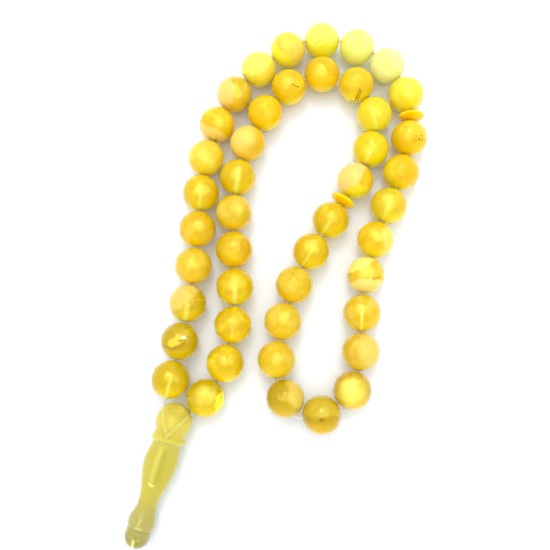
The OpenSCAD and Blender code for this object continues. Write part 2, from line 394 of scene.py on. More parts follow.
def amber(
    name, deep, light, clear, clouds=0.5, spread=3.0, caps=(), marks=(), glints=(), level=(1, 1, 0), seed=0.0
):
    """Polished amber: honey with milky clouds and, in some pieces, a cap of another tint or dark marks,
    with painted highlights, painted light and painted shade laid on as caps and glints.

    deep and light are the clear and the clouded colour, clear the share of light that the clear parts pass
    straight through, clouds how far the clouds spread, and spread how many mm light wanders inside. Each cap
    is (direction, edge, softness, colour, amount); some caps are tints of the amber, others painted
    highlights, painted light or painted shade. Each mark is a speck, a flow line or a painted sparkle:
    (start, end, half width, colour). Each glint is a painted line, light or dark, where a bore shows through
    the amber: (start, end, half width, colour, amount), seen square to the plane of the axes that are 1 in
    level. seed sets the pattern apart.
    """
    s = Shader(name)
    place = s.attribute("in_piece")
    shifted = s.vector("ADD", place, (seed, 2.3 * seed, -1.7 * seed))
    swirl = s.scaled(s.vector("SUBTRACT", s.noise(shifted, 0.9, 2, colour=True), (0.5, 0.5, 0.5)), 0.9)
    swirled = s.vector("ADD", shifted, swirl)
    cloud = s.span(s.noise(swirled, 1.2, 3, 0.5), 0.62 - 0.36 * clouds, 0.86 - 0.36 * clouds)
    colour = s.mix(cloud, (*deep, 1), (*light, 1))
    opaque = s.scaled_value(cloud, 0.25)
    # Caps: tints of the amber, and painted highlights, painted light low in a bead and painted shade
    for direction, edge, softness, tint, amount in caps:
        side = s.dot(place, Vector(direction).normalized())
        ragged = s.math("ADD", side, s.scaled_value(s.noise(swirled, 1.3, 3), 0.5, -0.25))
        share = s.span(ragged, edge - softness, edge + softness, 0.0, amount)
        colour = s.mix(share, colour, (*tint, 1))
        opaque = s.math("MAXIMUM", opaque, share)
    flecks = s.span(s.noise(shifted, 5.0, 3, 0.6), 0.35, 0.65, 0.0, 0.4)
    colour = s.mix(flecks, colour, s.scaled(colour, 0.93))
    wander = s.scaled(s.vector("SUBTRACT", s.noise(shifted, 5.0, 2, colour=True), (0.5, 0.5, 0.5)), 0.12)
    wandered = s.vector("ADD", place, wander)
    flat = s.vector("MULTIPLY", place, level)
    # Glints: painted lines of light and shade where bores show through the amber
    for start, end, half_width, tint, amount in glints:
        away = from_line(s, flat, start, end)
        glint = s.span(length(s, away), 1.6 * half_width, 0.2 * half_width, 0.0, amount)
        colour = s.mix(glint, colour, (*tint, 1))
    for start, end, half_width, tint in marks:
        away = from_line(s, wandered, on_top(*start), on_top(*end))
        mark = s.span(along_surface(s, place, away), half_width, 0.55 * half_width)
        colour = s.mix(mark, colour, (*tint, 1))
        opaque = s.math("MAXIMUM", opaque, mark)
    s.set(
        Base_Color=colour,
        Roughness=s.span(s.noise(shifted, 6.0, 4, 0.6), 0.3, 0.75, 0.12, 0.22),
        IOR=1.54,
        Specular_IOR_Level=0.25,
        Specular_Tint=(1.0, 0.85, 0.2, 1),
        Transmission_Weight=s.scaled_value(opaque, -clear, clear),
        Subsurface_Weight=1.0,
        Subsurface_Radius=(1.0, 0.75, 0.15),
        Subsurface_Scale=spread * MM,
        Coat_Weight=0.3,
        Coat_Roughness=0.08,
        Coat_IOR=1.5,
    )
    scuffs = s.noise(s.vector("MULTIPLY", swirled, (1.0, 1.0, 5.0)), 6.0, 3, 0.5)
    s.bump(s.math("ADD", s.noise(shifted, 2.4, 2), s.scaled_value(scuffs, 0.03)), 0.2, 0.08 * MM)
    return s.material


def frosted(name, colour):
    """The matt wall that a drill leaves in amber."""
    s = Shader(name)
    rings = s.noise(s.vector("MULTIPLY", s.attribute("in_piece"), (9.0, 9.0, 9.0)), 3.0, 3)
    s.set(
        Base_Color=s.mix(rings, (*(0.93 * c for c in colour), 1), (*colour, 1)),
        Roughness=0.75,
        Subsurface_Weight=0.6,
        Subsurface_Radius=(1.0, 0.8, 0.3),
        Subsurface_Scale=1.0 * MM,
    )
    return s.material


def nylon(name, colour):
    """Fine twisted nylon: translucent, with lighter and darker fibres."""
    s = Shader(name)
    place = s.attribute("in_piece")
    fibres = s.noise(s.vector("MULTIPLY", place, (1.0, 6.0, 6.0)), 3.0, 4, 0.7)
    dark = tuple(0.82 * c for c in colour)
    s.set(
        Base_Color=s.mix(fibres, (*dark, 1), (*colour, 1)),
        Roughness=s.span(fibres, 0.2, 0.8, 0.35, 0.6),
        Transmission_Weight=0.35,
        Subsurface_Weight=1.0,
        Subsurface_Radius=(1.0, 0.95, 0.85),
        Subsurface_Scale=0.5 * MM,
    )
    s.bump(fibres, 0.4, 0.05 * MM)
    return s.material


# ---------------------------------------------------------------- turned shapes, drawn in millimetres

to_metres = Matrix.Scale(MM, 4)


def lathe(outline, sides):
    """Vertices and faces of an outline of (radius, height) points turned about the z axis.

    An outline that starts and ends on the axis closes there. Any other is a closed loop round a bore.
    """
    rings, vertices, faces = [], [], []
    for radius, height in outline:
        if radius < 1e-9:
            rings.append([len(vertices)] * sides)
            vertices.append((0.0, 0.0, height))
            continue
        rings.append(range(len(vertices), len(vertices) + sides))
        for k in range(sides):
            angle = 2 * math.pi * k / sides
            vertices.append((radius * math.cos(angle), radius * math.sin(angle), height))
    if outline[0][0] > 1e-9:
        rings.append(rings[0])
    for low, high in zip(rings, rings[1:]):
        for k in range(sides):
            corners = (low[k], low[(k + 1) % sides], high[(k + 1) % sides], high[k])
            faces.append(tuple(dict.fromkeys(corners)))
    return vertices, faces


def arc(centre, radius, start, end, steps):
    """Points of (radius, height) on a round stretch of an outline. Angles are in degrees, 0 is outwards."""
    angles = (math.radians(start + (end - start) * k / steps) for k in range(steps + 1))
    return [(centre[0] + radius * math.cos(a), centre[1] + radius * math.sin(a)) for a in angles]


def straight(start, end, steps):
    """Points on a straight stretch of an outline, without its two ends."""
    return [
        (start[0] + (end[0] - start[0]) * k / steps, start[1] + (end[1] - start[1]) * k / steps)
        for k in range(1, steps)
    ]


def wave(start, end, steps):
    """Points from one (radius, height) to another on half a cosine wave, without the last."""
    points = []
    for k in range(steps):
        t = k / steps
        radius = start[0] + (end[0] - start[0]) * (1 - math.cos(math.pi * t)) / 2
        points.append((radius, start[1] + (end[1] - start[1]) * t))
    return points


def softened(outline, corners, reach_of_corner, steps=5):
    """The outline with the corners at these numbers rounded off."""
    made = []
    for i, point in enumerate(outline):
        if i not in corners:
            made.append(point)
            continue
        here = Vector(point)
        before, after = Vector(outline[i - 1]), Vector(outline[(i + 1) % len(outline)])
        a = here + (before - here).normalized() * min(reach_of_corner, 0.5 * (before - here).length)
        b = here + (after - here).normalized() * min(reach_of_corner, 0.5 * (after - here).length)
        for k in range(steps + 1):
            t = k / steps
            made.append(tuple(a * (1 - t) ** 2 + here * 2 * t * (1 - t) + b * t * t))
    return made


def mark_place(piece, into_piece):
    """Stores each vertex's place in the piece, which its material's pattern follows."""
    mesh = piece.data
    co = np.empty(3 * len(mesh.vertices))
    mesh.vertices.foreach_get("co", co)
    matrix = np.array(into_piece)
    place = co.reshape(-1, 3) @ matrix[:3, :3].T + matrix[:3, 3]
    attribute = mesh.attributes.new("in_piece", "FLOAT_VECTOR", "POINT")
    attribute.data.foreach_set("vector", place.ravel())


def finish_turned(piece, matrix, sharp_degrees=40):
    """Puts a piece that was drawn in millimetres into the row frame, with its edges shaded crisp."""
    piece.data.transform(matrix @ to_metres)
    piece.data.shade_smooth()
    piece.data.set_sharp_from_angle(angle=math.radians(sharp_degrees))
    return piece


def along_bore(centre, bore):
    """The frame of a piece drawn round the z axis and strung at a centre along a bore."""
    up = Vector((0, 0, 1))
    return Matrix.Translation(centre) @ Matrix((up.cross(bore), up, bore)).transposed().to_4x4()


# ---------------------------------------------------------------- beads

BEAD_R = BEAD_D / 2 / MM
BORE_R = BORE_D / 2 / MM
LIP = 0.3
WEAR = 0.03
BEAD_RINGS = 34
BEAD_SIDES = 64


def bead_outline():
    """A ball with a bore whose mouths are rounded over."""
    mouth = math.degrees(math.asin((BORE_R + LIP) / BEAD_R))
    ball = arc((0, 0), BEAD_R, -90 + mouth, 90 - mouth, BEAD_RINGS)
    edge = ball[-1][1]
    lip_top = [(BORE_R + LIP * (1 - math.sin(a)), edge - LIP * (1 - math.cos(a))) for a in (0.5, 1.0, 1.57)]
    wall = straight(lip_top[-1], (BORE_R, -lip_top[-1][1]), 8)
    lip_bottom = [(r, -z) for r, z in reversed(lip_top)]
    return ball + lip_top + wall + lip_bottom


def worn(piece, seed, depth):
    """Hand polishing leaves each ball a hair out of round. It only takes material off."""
    rng = np.random.default_rng(seed)
    mesh = piece.data
    co = np.empty(3 * len(mesh.vertices))
    mesh.vertices.foreach_get("co", co)
    co = co.reshape(-1, 3)
    unit = co / BEAD_R
    off = np.zeros(len(co))
    for _ in range(4):
        wave_vector, phase = rng.normal(0, 1.6, 3), rng.uniform(0, 2 * math.pi)
        off += (1 - np.cos(unit @ wave_vector + phase)) / 8
    outside = np.linalg.norm(unit, axis=1) > 0.99
    co[outside] *= (1 - depth * off[outside])[:, None]
    mesh.vertices.foreach_set("co", co.ravel())


def drill_walls(piece, material, radius):
    """Gives the wall of a bore round the z axis its own material."""
    piece.data.materials.append(material)
    for face in piece.data.polygons:
        if face.center.xy.length < radius:
            face.material_index = 1


def bead_turn(centre):
    """Turns a bead's pattern so that its z axis points to the camera's place."""
    return Vector((0, 0, 1)).rotation_difference(CAMERA_AT - centre)


def make_bead(name, material, wall, seed):
    """A ball on its joint, with its amber's pattern turned to the camera's place."""
    centre, bore = strung_at(name)
    vertices, faces = lathe(bead_outline(), BEAD_SIDES)
    piece = new_piece(name + "_ball", vertices, faces, material)
    drill_walls(piece, wall, BORE_R + 0.02)
    matrix = along_bore(centre, bore)
    worn(piece, seed, WEAR)
    finish_turned(piece, matrix)
    turned = bead_turn(centre).inverted().to_matrix().to_4x4()
    mark_place(piece, Matrix.Scale(1 / (BEAD_R * MM), 4) @ turned @ Matrix.Translation(-centre))
    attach(piece, name)
    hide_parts(name)
    return piece


# ---------------------------------------------------------------- separators

DISC_R = SEPARATOR_D / 2 / MM
DISC_W = SEPARATOR_W / MM
RIM_W = 0.6
DISC_SIDES = 72


def disc_outline():
    """A lens with a rounded rim and a bore."""
    rise = (DISC_W - RIM_W) / 2
    lens_r = (DISC_R**2 + rise**2) / (2 * rise)
    reach_up = math.degrees(math.asin((BORE_R + 0.15) / lens_r))
    rim_up = math.degrees(math.asin((DISC_R - 0.12) / lens_r))
    centre_height = DISC_W / 2 - lens_r
    top = arc((0, centre_height), lens_r, 90 - rim_up, 90 - reach_up, 14)
    rim_height = top[0][1]
    rim = arc((DISC_R - rim_height, 0), rim_height, -60, 60, 8)
    upper = top + [(BORE_R + 0.04, top[-1][1] - 0.05), (BORE_R, top[-1][1] - 0.15)]
    lower = [(r, -z) for r, z in reversed(upper)]
    return lower + rim + upper + straight(upper[-1], lower[0], 4)


def make_separator(name, material):
    centre, bore = strung_at(name)
    vertices, faces = lathe(disc_outline(), DISC_SIDES)
    piece = new_piece(name + "_disc", vertices, faces, material)
    finish_turned(piece, along_bore(centre, bore))
    mark_place(piece, Matrix.Scale(1 / (DISC_R * MM), 4) @ along_bore(centre, bore).inverted())
    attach(piece, name)
    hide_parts(name)
    return piece


# ---------------------------------------------------------------- the imame, in its own frame

NECK_R = 4.8
COLLAR_AT = 5.4
COLLAR_R = 1.1
COLLAR_REACH = 5.25
V_BORE_R = 0.6
HUB_R = 1.0
TOOL_END = 12
JOINT_AT = 6.5
SPIGOT_R = 2.3
SOCKET_R = 2.31
SOCKET_END = 9.5
SHOULDER_R = 4.45
SWELL_AT, SWELL_R = 13.0, 5.2
WAIST_AT, WAIST_R = 25.6, 2.95
FOOT_AT, FOOT_R = 31.2, 4.15
TIP_AT = 33.2
DOME_R = 3.8
CHAMBER_R = 1.35
CHAMBER_END = 19.5
TENON_L = 3.0
TENON_R = 1.7
TASSEL_R = 0.6
DRILL_POINT = math.radians(59)
IMAME_SIDES = 96
TOOL_SIDES = 32
PATTERN_R = 5


def drilled(piece, tools):
    """Cuts the tools out of a piece, and removes them."""
    for tool in tools:
        cut = piece.modifiers.new(tool.name, "BOOLEAN")
        cut.operation = "DIFFERENCE"
        cut.solver = "EXACT"
        cut.object = tool
    bpy.context.view_layer.update()
    depsgraph = bpy.context.evaluated_depsgraph_get()
    mesh = bpy.data.meshes.new_from_object(piece.evaluated_get(depsgraph))
    piece.modifiers.clear()
    piece.data = mesh
    for tool in tools:
        bpy.data.objects.remove(tool)
    return piece


def finish_imame_piece(piece):
    """Puts a piece of the imame in its place, with its amber's pattern measured along the imame's axes."""
    finish_turned(piece, imame_frame, 30)
    mark_place(piece, Matrix.Scale(1 / (PATTERN_R * MM), 4) @ imame_frame.inverted())
    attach(piece, "imame")
    return piece


def make_imame_head(material):
    """Ball head with a neck and a ring, V bored, with the spigot that is glued into the body."""
    head_r = HEAD_R / MM
    neck_angle = math.degrees(math.asin(math.sqrt(head_r**2 - NECK_R**2) / head_r))
    ball = arc((0, 0), head_r, -90, neck_angle, 44)
    ball[0] = (0.0, -head_r)
    ring_r = COLLAR_REACH - COLLAR_R
    meet = math.degrees(math.acos((NECK_R - ring_r) / COLLAR_R))
    neck = [(NECK_R, 3.5), (NECK_R, COLLAR_AT - COLLAR_R * math.sin(math.radians(meet)))]
    ring = arc((ring_r, COLLAR_AT), COLLAR_R, -meet, meet, 20)[1:]
    outline = softened(ball + neck + ring, [len(ball) - 1, len(ball) + 1], 0.45)
    outline += [(4.7, JOINT_AT - 0.02), (SPIGOT_R, JOINT_AT - 0.02)]
    outline += [(SPIGOT_R, SOCKET_END), (0.0, SOCKET_END)]
    vertices, faces = lathe(outline, IMAME_SIDES)
    piece = new_piece("imame_ball_head", vertices, faces, material)
    tools = []
    for side in (-1, 1):
        start = Vector((0, 0, V_AT / MM))
        mouth = Vector((0, side * mouth_side / MM, mouth_along / MM))
        away = (mouth - start).normalized()
        bore_outline = [(0, 0), (V_BORE_R, 0), (V_BORE_R, TOOL_END), (0, TOOL_END)]
        bore_vertices, bore_faces = lathe(bore_outline, TOOL_SIDES)
        bore = new_piece("bore", bore_vertices, bore_faces, material)
        bore.data.transform(Matrix.Translation(start) @ away.to_track_quat("Z", "Y").to_matrix().to_4x4())
        dimple_outline = arc((0, 0), 1.0, -90, 90, 16)
        dimple_outline[0], dimple_outline[-1] = (0.0, -1.0), (0.0, 1.0)
        dimple_vertices, dimple_faces = lathe(dimple_outline, TOOL_SIDES)
        dimple = new_piece("dimple", dimple_vertices, dimple_faces, material)
        dimple.data.transform(Matrix.Translation(mouth))
        tools += [bore, dimple]
    hub_outline = [(0, 3.4), (HUB_R, 3.4), (HUB_R, TOOL_END), (0, TOOL_END)]
    hub_vertices, hub_faces = lathe(hub_outline, TOOL_SIDES)
    tools.append(new_piece("hub", hub_vertices, hub_faces, material))
    drilled(piece, tools)
    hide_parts("imame_head")
    return finish_imame_piece(piece)


def make_imame_body(material):
    """Turned body: swelling, waist and foot ring outside, the knot's chamber and two sockets inside."""
    point = CHAMBER_R / math.tan(DRILL_POINT)
    cavity = [(0.0, CHAMBER_END), (CHAMBER_R, CHAMBER_END - point)]
    cavity += straight(cavity[-1], (CHAMBER_R, SOCKET_END + 0.05), 12)
    cavity += [(CHAMBER_R, SOCKET_END + 0.05), (SOCKET_R, SOCKET_END + 0.05), (SOCKET_R, JOINT_AT)]
    outside = [(SHOULDER_R - 0.2, JOINT_AT), (SHOULDER_R, JOINT_AT + 0.2)]
    outside += wave((SHOULDER_R, JOINT_AT + 0.2), (SWELL_R, SWELL_AT), 16)[1:]
    outside += wave((SWELL_R, SWELL_AT), (WAIST_R, WAIST_AT), 28)
    outside += wave((WAIST_R, WAIST_AT), (FOOT_R, FOOT_AT), 18)
    outside += wave((FOOT_R, FOOT_AT), (3.75, TIP_AT - 0.1), 10)
    outside += [(3.7, TIP_AT - 0.05), (3.55, TIP_AT)]
    mortise_r, mortise_end = TENON_R + 0.01, TIP_AT - TENON_L - 0.05
    socket = [(mortise_r, TIP_AT), (mortise_r, mortise_end), (0.0, mortise_end)]
    vertices, faces = lathe(cavity + outside + socket, IMAME_SIDES)
    piece = new_piece("imame_turned_body", vertices, faces, material)
    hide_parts("imame_body")
    return finish_imame_piece(piece)


def make_imame_tip(material):
    """Domed tip with its tenon, bored for a tassel's cord."""
    dome_centre = TIP_END / MM - DOME_R
    mouth = math.degrees(math.acos((TASSEL_R + 0.25) / DOME_R))
    dome = arc((0, dome_centre), DOME_R, 0, mouth, 20)
    side_wall = [(3.5, TIP_AT + 0.01), (3.66, TIP_AT + 0.14)]
    side_wall += wave((3.7, TIP_AT + 0.35), (DOME_R, dome_centre), 6)
    lip = [(TASSEL_R + 0.07, dome[-1][1] - 0.06), (TASSEL_R, dome[-1][1] - 0.25)]
    top = TIP_AT - TENON_L
    bore = straight(lip[-1], (TASSEL_R, top), 8)
    tenon = [(TASSEL_R, top), (TENON_R, top), (TENON_R, TIP_AT + 0.01)]
    vertices, faces = lathe(side_wall + dome + lip + bore + tenon, IMAME_SIDES)
    piece = new_piece("imame_domed_tip", vertices, faces, material)
    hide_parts("imame_tip")
    return finish_imame_piece(piece)


# ---------------------------------------------------------------- thread and knot

KNOT_AT = 10.21
KNOT_MEAN_R = 0.52
KNOT_LOBE = 0.27
KNOT_RISE = 0.42
KNOT_PLY_R = 0.36
TAILS = ((-1, 3.4), (1, 2.6))
LEG_SIDE = THREAD_D / 2 + 0.02 * MM
THREAD_STEP = 0.22 * MM
PLY_PITCH = 2.4 * MM


def thread_points():
    """From the knot up the left leg, round the strand and down the right leg to the knot."""
    start, end = imame_point(-mouth_side, mouth_along), imame_point(mouth_side, mouth_along)
    corners = [Vector((*c, BEAD_D / 2)) for c in string_pieces(start.to_2d(), end.to_2d())]

    def leg(side):
        bend = imame_point(side * LEG_SIDE, V_AT - LEG_SIDE / math.tan(V_ANGLE))
        return [imame_point(side * LEG_SIDE, (KNOT_AT - 0.6) * MM), bend]

    first, bore = strung_at(piece_name(0))
    last, last_bore = strung_at(piece_name(PIECES - 1))
    inner = BEAD_D / 2 + GAP / 2
    ends = [start, first - bore * inner], [last + last_bore * inner, end]
    return leg(-1) + ends[0] + corners + ends[1] + leg(1)[::-1]


def make_thread(material, knot):
    """One twisted thread through every piece."""
    line = respaced(rounded(thread_points(), 1.1 * MM), THREAD_STEP)
    section = twisted_plies(THREAD_D / 2, 3, 12, PLY_PITCH, THREAD_STEP)
    vertices, faces = sweep(line, section)
    piece = new_piece("thread", vertices, faces, material)
    mark_place(piece, Matrix.Scale(1 / MM, 4))
    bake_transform(piece)
    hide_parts("thread_loop", "thread_leg_left", "thread_leg_right")
    return piece


def make_knot(material):
    """Both ends tied together: a tight three-lobed knot, with two cut ends below it."""
    turns = np.linspace(0, 2 * math.pi, 91)[:-1]
    lobes = KNOT_MEAN_R + KNOT_LOBE * np.cos(3 * turns)
    line = [lobes * np.cos(2 * turns), lobes * np.sin(2 * turns), KNOT_RISE * np.sin(3 * turns)]
    line = np.stack(line, axis=1)
    line = np.concatenate([line, line[:1]]) + (0, 0, KNOT_AT + 0.35)
    circle = np.arange(10) * 2 * math.pi / 10
    ply = np.stack([KNOT_PLY_R * np.cos(circle), KNOT_PLY_R * np.sin(circle)], axis=1)
    parts = [sweep(line, lambda i: ply)]
    along = np.linspace(0, 1, 12)
    for side, length in TAILS:
        tail = [0.1 * np.sin(4 * along), side * (0.35 + 0.2 * along), KNOT_AT + 0.6 + length * along]
        parts.append(sweep(np.stack(tail, axis=1), lambda i: ply))
    joined, joined_faces = [], []
    for v, f in parts:
        joined_faces += [tuple(k + len(joined) for k in face) for face in f]
        joined += [tuple(p) for p in v]
    piece = new_piece("thread_knot", joined, joined_faces, material)
    piece.data.transform(imame_frame @ to_metres)
    mark_place(piece, Matrix.Scale(1 / MM, 4))
    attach(piece, "imame")
    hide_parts("knot")
    return piece


# ---------------------------------------------------------------- making them all

white = nylon("white_nylon", (0.94, 0.92, 0.84))
make_thread(white, make_knot(white))

# How each kind of amber looks, by its slot
KINDS = {
    "amber_golden": dict(deep=(0.93, 0.61, 0.003), light=(0.97, 0.72, 0.02), clear=0.3),
    "amber_milky": dict(deep=(0.78, 0.55, 0.012), light=(0.82, 0.61, 0.06), clear=0.2, clouds=0.6),
    "amber_lemon": dict(
        deep=(0.98, 0.70, 0.05), light=(0.99, 0.74, 0.10), clear=0.12, clouds=0.6, spread=6.0,
    ),
    "amber_olive": dict(deep=(0.64, 0.44, 0.005), light=(0.68, 0.50, 0.02), clear=0.35),
}
CREAM = (0.97, 0.78, 0.22)
PEACH = (0.95, 0.66, 0.23)
# A deeper amber tone; on beads 6 and 39 it is painted shade
DARK_GOLD = (0.80, 0.50, 0.002)
# Painted light: a bright patch low on a bead, where light would gather in the amber
PAINTED_GATHERED_GLOW = (0.99, 0.85, 0.03)
# Painted light: bright streaks along the bores, and a painted highlight on bead 45
PAINTED_SHINE = (1.0, 0.91, 0.17)
# Painted highlight: the soft glow near each bead's top, and between the imame's V legs
PAINTED_GLOW = (1.0, 0.87, 0.18)
# Painted shade: a darker streak at the end of a bore further from the imame
PAINTED_BORE_SHADE = (0.62, 0.54, 0.10)
HONEY = dict(deep=(0.93, 0.64, 0.003), light=(0.98, 0.76, 0.02), clear=0.4, clouds=0.4)
DARK_HONEY = dict(deep=(0.78, 0.57, 0.003), light=(0.84, 0.66, 0.01), clear=0.4, clouds=0.4)
RUST = (0.28, 0.10, 0.005)
SOOT = (0.12, 0.06, 0.01)
# How much lighter each bead's lower side is painted: painted light where light gathers in the amber
PAINTED_LIGHT_GAIN = 1.18
